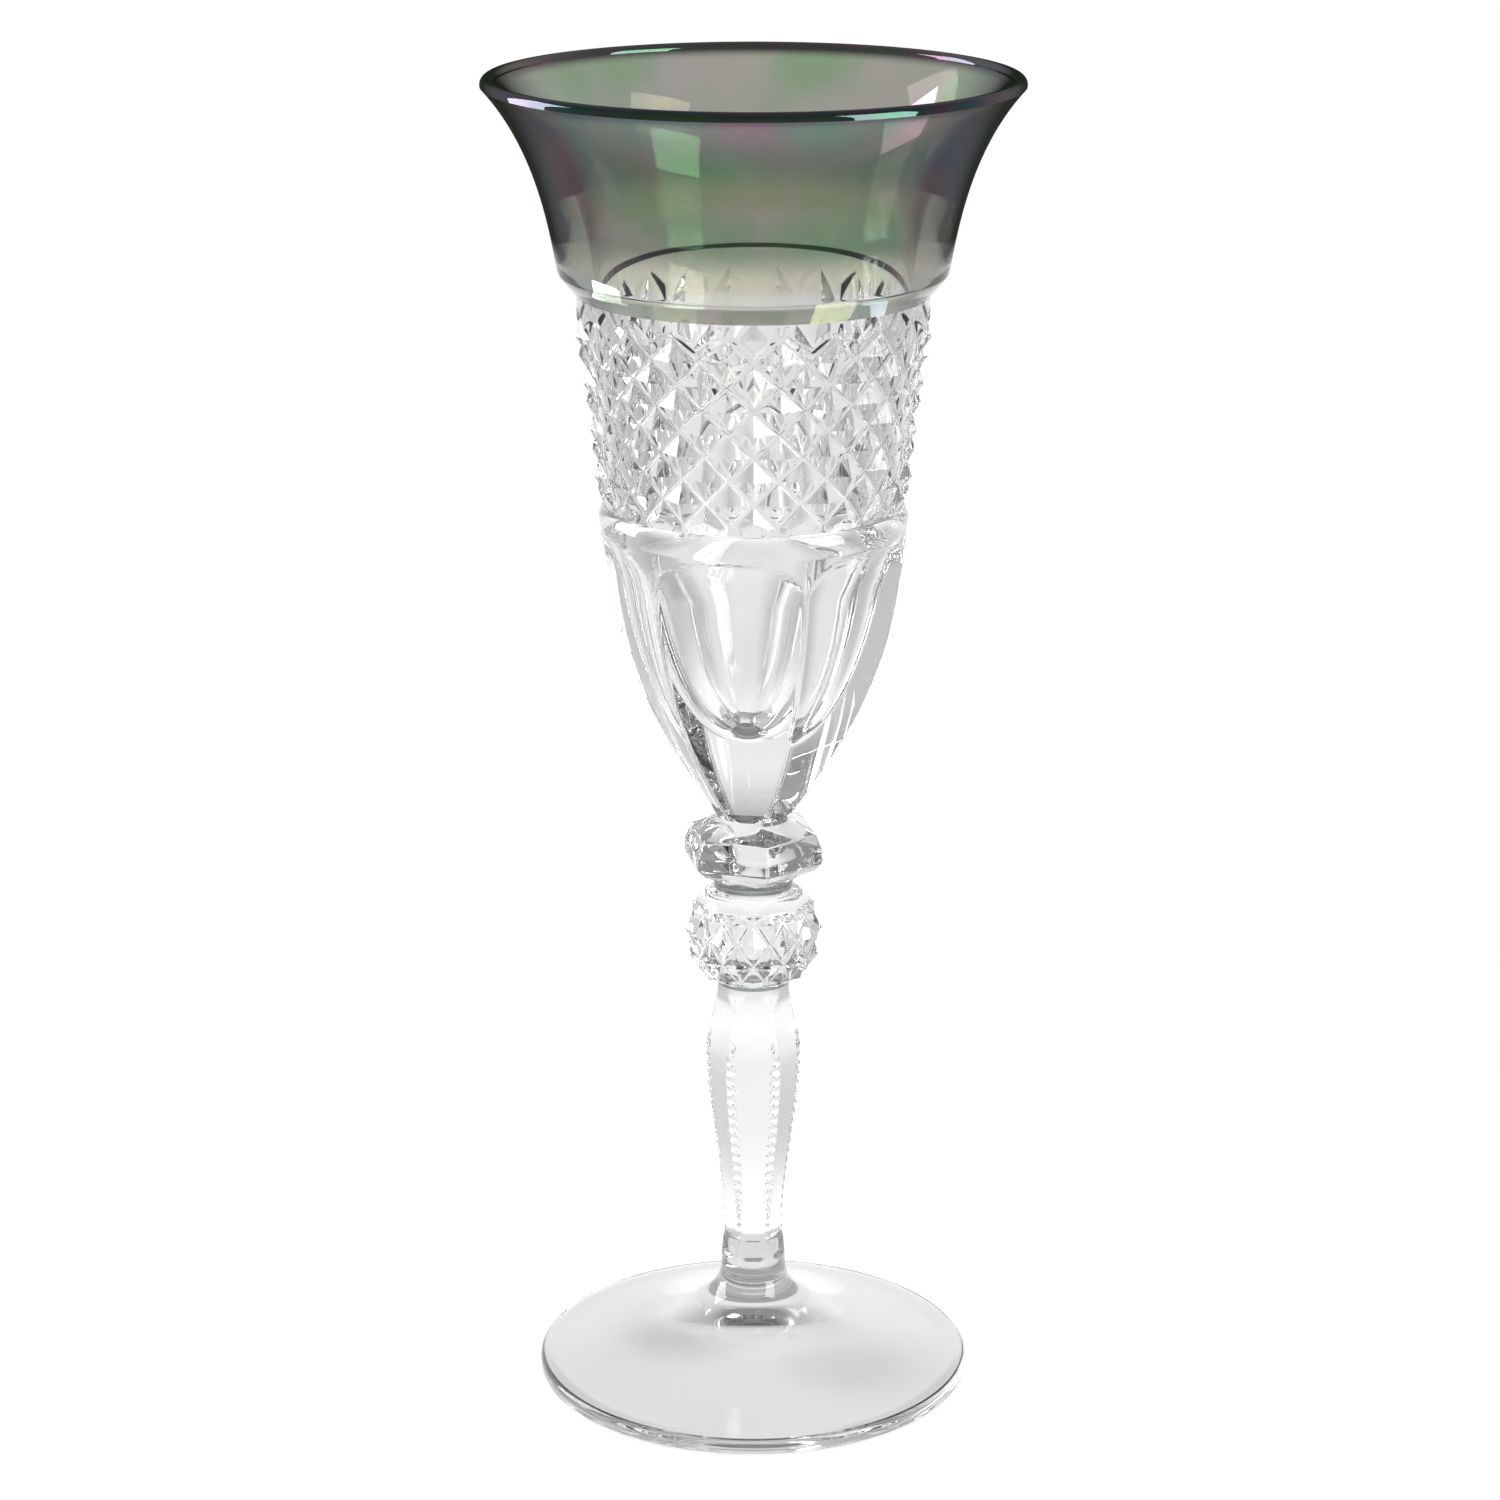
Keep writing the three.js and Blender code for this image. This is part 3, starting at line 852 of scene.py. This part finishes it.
kinds = [kind for kind in dir(bpy.types) if kind.startswith("ShaderNode")]
print("There are", len(kinds), "kinds of shader nodes to choose from")

# %% A group of nodes
NUMBER, COLOUR, VECTOR = "NodeSocketFloat", "NodeSocketColor", "NodeSocketVector"


def node_group(name, inputs, outputs):
    """An empty group of nodes with its sockets, and the nodes that hold them."""
    group = bpy.data.node_groups.new(name, "ShaderNodeTree")
    for label, kind, value in inputs:
        socket = group.interface.new_socket(label, in_out="INPUT", socket_type=kind)
        socket.default_value = value
    for label, kind in outputs:
        group.interface.new_socket(label, in_out="OUTPUT", socket_type=kind)
    return group, group.nodes.new("NodeGroupInput"), group.nodes.new("NodeGroupOutput")


print("A group's sockets are of the kinds", NUMBER, COLOUR, "and", VECTOR)

# %% [markdown]
# ### Effects that both glasses share
# Pressed glass keeps a faint ripple from its mould, longer upwards than across, and its tone drifts a little
# from place to place. Both could be painted as images, but noise made by nodes fits any surface and any
# distance. Each effect is a group, built once and placed in both glasses with its own values.

# %% Mould ripple
ripple_flattening = (1, 1, 0.45)
ripple_detail, ripple_reach = 1.5, 0.001


def place_on(tree):
    """Where a point lies, in metres from the middle of the foot."""
    return new_node(tree, "TexCoord").outputs["Object"]


def noise(tree, place, per_metre, detail):
    """Soft patches, about so many to a metre."""
    patches = new_node(tree, "TexNoise", {"Vector": place, "Scale": per_metre, "Detail": detail})
    return patches.outputs["Fac"]


def mould_ripple():
    group, given, result = node_group(
        "mould_ripple", [("Waves per metre", NUMBER, 60.0), ("Strength", NUMBER, 0.1)], [("Normal", VECTOR)]
    )
    stretched = new_node(group, "Mapping", {"Vector": place_on(group), "Scale": ripple_flattening})
    waves = noise(group, stretched.outputs["Vector"], given.outputs["Waves per metre"], ripple_detail)
    relief = {"Strength": given.outputs["Strength"], "Distance": ripple_reach, "Height": waves}
    feed(group, result.inputs["Normal"], new_node(group, "Bump", relief).outputs["Normal"])
    return group


ripple_group = mould_ripple()
print("The ripple has", len(ripple_group.nodes), "nodes")

# %% Drift of tone
tone_detail, tone_contrast = 2, (0.38, 0.62)
BLACK, WHITE = (0, 0, 0, 1), (1, 1, 1, 1)


def between(tree, value, start, end, highest=1.0):
    """How far a value lies between two others, with a soft start and end."""
    inputs = {"Value": value, "From Min": start, "From Max": end, "To Max": highest}
    return new_node(tree, "MapRange", inputs, interpolation_type="SMOOTHSTEP").outputs["Result"]


def blend(tree, share, first, second):
    """A colour between two others."""
    inputs = {"Factor": share, "A": first, "B": second}
    return new_node(tree, "Mix", inputs, data_type="RGBA").outputs["Result"]


def drift_of_tone():
    group, given, result = node_group(
        "drift_of_tone",
        [("Low", COLOUR, BLACK), ("High", COLOUR, WHITE), ("Patches per metre", NUMBER, 30.0)],
        [("Color", COLOUR)],
    )
    patches = noise(group, place_on(group), given.outputs["Patches per metre"], tone_detail)
    share = between(group, patches, *tone_contrast)
    feed(group, result.inputs["Color"], blend(group, share, given.outputs["Low"], given.outputs["High"]))
    return group


tone_group = drift_of_tone()
print("Shared effects:", [group.name for group in bpy.data.node_groups])

# %% [markdown]
# ### Clear crystal
# Crystal bends light strongly and takes a little of it away, both at its surface and along its way through
# the body. Left alone, the renderer gives glass a black shadow, because lamps can't be followed through its
# bends. Caustics would cure that slowly and with much noise, so shadow rays see a clear sheet instead, and
# the shadow stays as pale as it is under real crystal.

# %% Glass with a pale shadow
crystal_ior = 1.53


def new_material(name):
    """A material with its tree of nodes and its Principled node."""
    material = bpy.data.materials.new(name)
    material.use_nodes = True
    return material, material.node_tree, material.node_tree.nodes["Principled BSDF"]


def glass_material(name, waves, ripple, absorbed, density, shadow):
    """Returns the material, its Principled node and the node that swaps it for a clear sheet in shadows."""
    material, tree, glass = new_material(name)
    rippled = new_node(tree, "Group", {"Waves per metre": waves, "Strength": ripple}, node_tree=ripple_group)
    fill(tree, glass, {
        "Roughness": 0.0,
        "IOR": crystal_ior,
        "Transmission Weight": 1.0,
        "Normal": rippled.outputs["Normal"],
    })
    sheet = new_node(tree, "BsdfTransparent", {"Color": (*shadow, 1)})
    in_shadow = new_node(tree, "LightPath").outputs["Is Shadow Ray"]
    either = new_node(tree, "MixShader", {0: in_shadow, 1: glass.outputs["BSDF"], 2: sheet.outputs["BSDF"]})
    body = new_node(tree, "VolumeAbsorption", {"Color": (*absorbed, 1), "Density": density})
    output = {"Surface": either.outputs["Shader"], "Volume": body.outputs["Volume"]}
    fill(tree, tree.nodes["Material Output"], output)
    return material, glass, either


def drifting_colour(tree, low, high, per_metre):
    inputs = {"Low": low, "High": high, "Patches per metre": per_metre}
    return new_node(tree, "Group", inputs, node_tree=tone_group).outputs["Color"]


def clear_crystal():
    material, glass, _ = glass_material(
        "clear_crystal",
        waves=70,
        ripple=0.05,
        absorbed=(0.02, 0.1, 0.08),
        density=4.5,
        shadow=(0.93, 0.93, 0.93),
    )
    low, high = (0.915, 0.91, 0.905, 1), (0.96, 0.955, 0.95, 1)
    tone = drifting_colour(material.node_tree, low, high, per_metre=25)
    feed(material.node_tree, glass.inputs["Base Color"], tone)
    return material


crystal = clear_crystal()
print("Crystal has", len(crystal.node_tree.nodes), "nodes")

# %% [markdown]
# ### Smoke lustre
# The lip carries a fired film of metal, about as thin as a wavelength of light. It darkens the glass to
# smoke green and plays with colours where it mirrors a lamp. It leaves the foot of the lip clear, so the
# lip's colour changes with its height. On the brim a near-black tone is painted shade, for the dark that the
# rim's crest bends in from the room. A plain dark tint would be simpler, but it would miss both the fade and
# the play of colours.

# %% Fade of the lustre
def height_on(tree):
    """How high a point lies over the table, in metres."""
    return new_node(tree, "SeparateXYZ", {"Vector": place_on(tree)}).outputs["Z"]


def lustre_fade_and_rim_shade():
    """The colour of the lip by height: Clear, then Edge, then Full, then Rim, which is painted shade on the
    brim.
    """
    tones = ("Clear", "Edge", "Full", "Rim")
    limits = ("Clear up to", "Edge at", "Full from", "Full up to", "Rim from")
    group, given, result = node_group(
        "lustre_fade_and_rim_shade",
        [(tone, COLOUR, WHITE) for tone in tones] + [(limit, NUMBER, 0.0) for limit in limits],
        [("Color", COLOUR)],
    )
    height = height_on(group)
    colour = given.outputs["Clear"]
    for start, end, tone in (
        ("Clear up to", "Edge at", "Edge"),
        ("Edge at", "Full from", "Full"),
        ("Full up to", "Rim from", "Rim"),
    ):
        share = between(group, height, given.outputs[start], given.outputs[end])
        colour = blend(group, share, colour, given.outputs[tone])
    feed(group, result.inputs["Color"], colour)
    return group


fade_and_rim_shade_group = lustre_fade_and_rim_shade()
print("The fade has", len(fade_and_rim_shade_group.nodes), "nodes")

# %% [markdown]
# ### Film
# The film isn't equally thick everywhere, and its colours change with its thickness. Noise could drive the
# shader's thickness, but then no plain value would stand on the shader to be read or changed. So there are
# two shaders, one with a thin film and one with a thick one, mixed in soft patches.

# %% A film of two thicknesses
film_ior = 1.7
thin_film, thick_film = 400, 520
film_patches, film_detail, film_contrast = 90, 1, (0.32, 0.68)


def mix_shaders(tree, share, first, second):
    return new_node(tree, "MixShader", {0: share, 1: first, 2: second}).outputs["Shader"]


def wandering_film(tree, glass, colour):
    """The glass, mixed in patches with the same glass under a thicker film."""
    fill(tree, glass, {"Base Color": colour, "Thin Film IOR": film_ior, "Thin Film Thickness": thin_film})
    thicker = new_node(tree, "BsdfPrincipled", {"Base Color": colour, "Thin Film Thickness": thick_film})
    for label in ("Roughness", "IOR", "Transmission Weight", "Thin Film IOR"):
        thicker.inputs[label].default_value = glass.inputs[label].default_value
    feed(tree, thicker.inputs["Normal"], glass.inputs["Normal"].links[0].from_socket)
    patches = between(tree, noise(tree, place_on(tree), film_patches, film_detail), *film_contrast)
    return mix_shaders(tree, patches, glass.outputs["BSDF"], thicker.outputs["BSDF"])


print("The film is", thin_film, "to", thick_film, "nm thick")

# %% [markdown]
# ### Dark edges
# The lip is near black at its sides and under its brim. Part of this is the film, which swallows more of
# the light that passes it at a slant, and the rest is painted shade for the dark room seen there. A darker
# tint would darken the middle as well. Layer Weight tells how far a surface slants away, and there the glass
# gives way to a dark, dull shader that paints this shade.

# %% Dark edges and the finished lustre
slant_darkens_over, slant_darkest = (0.45, 0.84), 0.985
dark_from_height, dark_up_to_height = 0.172, 0.178
film_dark_and_painted_shade = (0.012, 0.016, 0.011, 1)


def calculate(tree, operation, *values):
    return new_node(tree, "Math", dict(enumerate(values)), operation=operation).outputs["Value"]


def dark_edges(tree, shader):
    """The shader, near black where the surface slants away, above the clear foot of the lip. Part of the dark
    is the film's loss at a slant and the rest is painted shade.
    """
    facing = new_node(tree, "LayerWeight").outputs["Facing"]
    slant = between(tree, facing, *slant_darkens_over, slant_darkest)
    filmed = between(tree, height_on(tree), dark_from_height, dark_up_to_height)
    # Painted shade: a dark, dull shader at the slanting sides, on top of the film's own loss there.
    dark = new_node(tree, "BsdfDiffuse", {"Color": film_dark_and_painted_shade}).outputs["BSDF"]
    return mix_shaders(tree, calculate(tree, "MULTIPLY", slant, filmed), shader, dark)


def smoke_lustre():
    material, glass, either = glass_material(
        "smoke_lustre",
        waves=55,
        ripple=0.06,
        absorbed=(0.1, 0.16, 0.05),
        density=50,
        shadow=(0.7, 0.72, 0.7),
    )
    tree = material.node_tree
    low, high = (0.26, 0.36, 0.24, 1), (0.39, 0.375, 0.335, 1)
    fade = new_node(tree, "Group", {
        "Clear": (0.96, 0.96, 0.95, 1),
        "Edge": (0.82, 0.80, 0.68, 1),
        "Full": drifting_colour(tree, low, high, per_metre=60),
        # Rim: near black on the brim, painted shade for the dark that the crest bends in from the room.
        "Rim": (0.025, 0.02, 0.018, 1),
        "Clear up to": 0.1722,
        "Edge at": 0.1745,
        "Full from": 0.180,
        "Full up to": 0.1977,
        "Rim from": 0.1990,
    }, node_tree=fade_and_rim_shade_group)
    filmed = wandering_film(tree, glass, fade.outputs["Color"])
    feed(tree, either.inputs[1], dark_edges(tree, filmed))
    return material


lustre = smoke_lustre()
print("Lustre has", len(lustre.node_tree.nodes), "nodes")

# %% [markdown]
# ### Fused faces
# Where two forms are fused there is no surface any more: light passes from one to the other unbent. The six
# skins could be joined into one mesh, but then no form could be shown or changed by itself. So each skin
# stays closed, and its marked faces get a second material with no opacity.

# %% Hand out the finishes
def fused_face():
    """Two fused pieces share one body of glass, so the face between them isn't seen."""
    material, tree, unseen = new_material("fused_face")
    fill(tree, unseen, {"Alpha": 0})
    return material


fused = fused_face()
for piece in (foot, stem, ball, knop, bowl, lip):
    piece.data.materials.append(lustre if piece is lip else crystal)
    piece.data.materials.append(fused)
    print(piece.name, "has the finishes", [material.name for material in piece.data.materials])

# %% [markdown]
# ## Fit the skins to the frame
# Each skin rides on the glass's one body and stands for the measured piece of the same form, which is then
# not shown. It could be parented by hand, but then nothing would say which measured piece it stands for.
# The slots name the two glasses of the measured model.

# %% Ride and replace
for piece, node, slot in (
    (foot, "foot", "clear_crystal"),
    (stem, "baluster_stem", "clear_crystal"),
    (ball, "diamond_ball", "clear_crystal"),
    (knop, "hexagonal_knop", "clear_crystal"),
    (bowl, "bowl", "clear_crystal"),
    (lip, "lustre_lip", "smoke_lustre"),
):
    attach(piece, "root")
    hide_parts(node)
print("Pieces ride on root")

# %% [markdown]
# ## Studio
# Glass has hardly a colour of its own: what is seen in it is the room. Bent through the glass, the room's
# darker parts draw the lines of the crystal. A white room all round would let the glass vanish, and a grey
# one would make it dull. So the room is white only right behind the glass, and dimmer to the sides, towards
# the camera and overhead. Floor and room share this pale field, so it is a group as well.

# %% The pale field behind the glass
wall_by_depth = ((0, 0.28), (0.4, 0.42), (0.7, 0.55), (0.93, 0.7), (0.985, 1.0))


def ramp(tree, value, steps):
    """A grey that follows a value, given as pairs of a position and a level."""
    made = new_node(tree, "ValToRGB", {"Fac": value})
    while len(made.color_ramp.elements) < len(steps):
        made.color_ramp.elements.new(0.5)
    for element, (position, level) in zip(made.color_ramp.elements, steps):
        element.position = position
        element.color = (level, level, level, 1)
    return made.outputs["Color"]


def pale_behind():
    """How pale the room is in each direction round the glass. Direction is any vector that starts at the
    glass. Its depth goes from 0, towards the camera, to 1, right behind the glass."""
    group, given, result = node_group("pale_behind", [("Direction", VECTOR, (0, 1, 0))], [("Color", COLOUR)])
    level = new_node(group, "VectorMath", {0: given.outputs["Direction"], 1: (1, 1, 0)}, operation="MULTIPLY")
    heading = new_node(group, "VectorMath", {0: level.outputs["Vector"]}, operation="NORMALIZE")
    backwards = new_node(group, "SeparateXYZ", {"Vector": heading.outputs["Vector"]}).outputs["Y"]
    depth = calculate(group, "MULTIPLY_ADD", backwards, 0.5, 0.5)
    feed(group, result.inputs["Color"], ramp(group, depth, wall_by_depth))
    return group


pale_group = pale_behind()
print("Levels from front to back:", [level for _, level in wall_by_depth])

# %% [markdown]
# ### Floor
# The glass stands on a wide white table. A plane with plain white paint would turn grey away from the
# lamps. So near the glass the paint glows a little and still takes the glass's shadow, and farther off it
# fades into plain white for the camera, and into the pale field for what is seen through the glass.

# %% Make the floor
floor_half = 3.0
floor_gap = 0.0002
floor_glow = 0.4
floor_fades_over = (0.05, 0.2)


def floor_material():
    material, tree, paint = new_material("studio_floor")
    path = new_node(tree, "LightPath").outputs
    through = calculate(tree, "MAXIMUM", path["Is Transmission Ray"], path["Is Glossy Ray"])
    seen = calculate(tree, "MAXIMUM", path["Is Camera Ray"], through)
    fill(tree, paint, {
        "Base Color": (0.9, 0.9, 0.9, 1),
        "Roughness": 0.9,
        "Specular IOR Level": 0.1,
        "Emission Color": WHITE,
        "Emission Strength": calculate(tree, "MULTIPLY", seen, floor_glow),
    })
    place = place_on(tree)
    away = new_node(tree, "VectorMath", {0: place}, operation="LENGTH").outputs["Value"]
    far = between(tree, away, *floor_fades_over)
    pale = new_node(tree, "Group", {"Direction": place}, node_tree=pale_group)
    plain = new_node(tree, "Emission", {"Color": blend(tree, through, WHITE, pale.outputs["Color"])})
    either = mix_shaders(
        tree, calculate(tree, "MULTIPLY", seen, far), paint.outputs["BSDF"], plain.outputs["Emission"]
    )
    feed(tree, tree.nodes["Material Output"].inputs["Surface"], either)
    return material


floor_mesh = bpy.data.meshes.new("studio_floor")
floor_corners = [(x * floor_half, y * floor_half, 0) for x, y in ((-1, -1), (1, -1), (1, 1), (-1, 1))]
floor_mesh.from_pydata(floor_corners, [], [(0, 1, 2, 3)])
floor_mesh.materials.append(floor_material())
floor = in_scene("studio_floor", floor_mesh)
floor.location.z = -floor_gap
print("Floor", 2 * floor_half, "m wide")

# %% [markdown]
# ### Windows
# The photograph's light came from two tall windows, one in front to the right and one to the left, and
# their upright shapes shine on the lip. Sun lamps would give points of light, so two soft boxes of the
# windows' size stand there, low enough to reach down to the table.

# %% Place the windows
window_middle = 0.15


def soft_box(name, azimuth, elevation, distance, width, height, brightness):
    """A soft box that faces the glass. Azimuth 0 is the camera's side and 90 the right."""
    lamp = bpy.data.lights.new(name, "AREA")
    lamp.shape = "RECTANGLE"
    lamp.size, lamp.size_y = width, height
    lamp.energy = brightness * math.pi * width * height
    box = in_scene(name, lamp)
    turn, rise = math.radians(azimuth), math.radians(elevation)
    box.location = (
        distance * math.cos(rise) * math.sin(turn),
        -distance * math.cos(rise) * math.cos(turn),
        window_middle + distance * math.sin(rise),
    )
    box.rotation_euler = (math.pi / 2 - rise, 0, turn)


soft_box("right_window", azimuth=55, elevation=17, distance=0.9, width=0.48, height=0.8, brightness=7.0)
soft_box("left_window", azimuth=-108, elevation=16, distance=0.9, width=0.44, height=0.75, brightness=7.0)
print("Lamps:", [lamp.name for lamp in bpy.data.lights])

# %% [markdown]
# ### Room
# Walls and ceiling could be built as planes, but they would hide the windows or show their corners in the
# glass. The world does it with no edges: plain white for the camera, and for the glass the pale field all
# round, which turns into a dim ceiling overhead.

# %% Make the room
ceiling, ceiling_over = 0.3, (0.3, 0.7)


def room():
    world = bpy.data.worlds.new("studio_room")
    world.use_nodes = True
    tree = world.node_tree
    direction = new_node(tree, "TexCoord").outputs["Generated"]
    height = new_node(tree, "SeparateXYZ", {"Vector": direction}).outputs["Z"]
    lowest, highest = ceiling_over
    overhead = new_node(tree, "MapRange", {"Value": height, "From Min": lowest, "From Max": highest})
    pale = new_node(tree, "Group", {"Direction": direction}, node_tree=pale_group)
    dim = (ceiling, ceiling, ceiling, 1)
    in_glass = blend(tree, overhead.outputs["Result"], pale.outputs["Color"], dim)
    to_camera = new_node(tree, "LightPath").outputs["Is Camera Ray"]
    feed(tree, tree.nodes["Background"].inputs["Color"], blend(tree, to_camera, in_glass, WHITE))
    return world


bpy.context.scene.world = room()
print("World:", bpy.context.scene.world.name)

# %% [markdown]
# ### View and light paths
# The plain Standard view keeps the table white, where a filmic one would turn it grey. Light passes at
# least four surfaces of the bowl and is turned back inside many facets, so the glass gets many bounces.
# Fewer would be faster, but would leave black specks in the diamonds.

# %% Set the view and the bounces
scene = bpy.context.scene
scene.view_settings.view_transform = "Standard"
scene.cycles.caustics_refractive = False
scene.cycles.caustics_reflective = False
scene.cycles.max_bounces = 32
scene.cycles.transmission_bounces = 32
scene.cycles.glossy_bounces = 12
scene.cycles.transparent_max_bounces = 32
print("View:", scene.view_settings.view_transform)

# %% [markdown]
# The dressed glass has to stay inside the measured one.
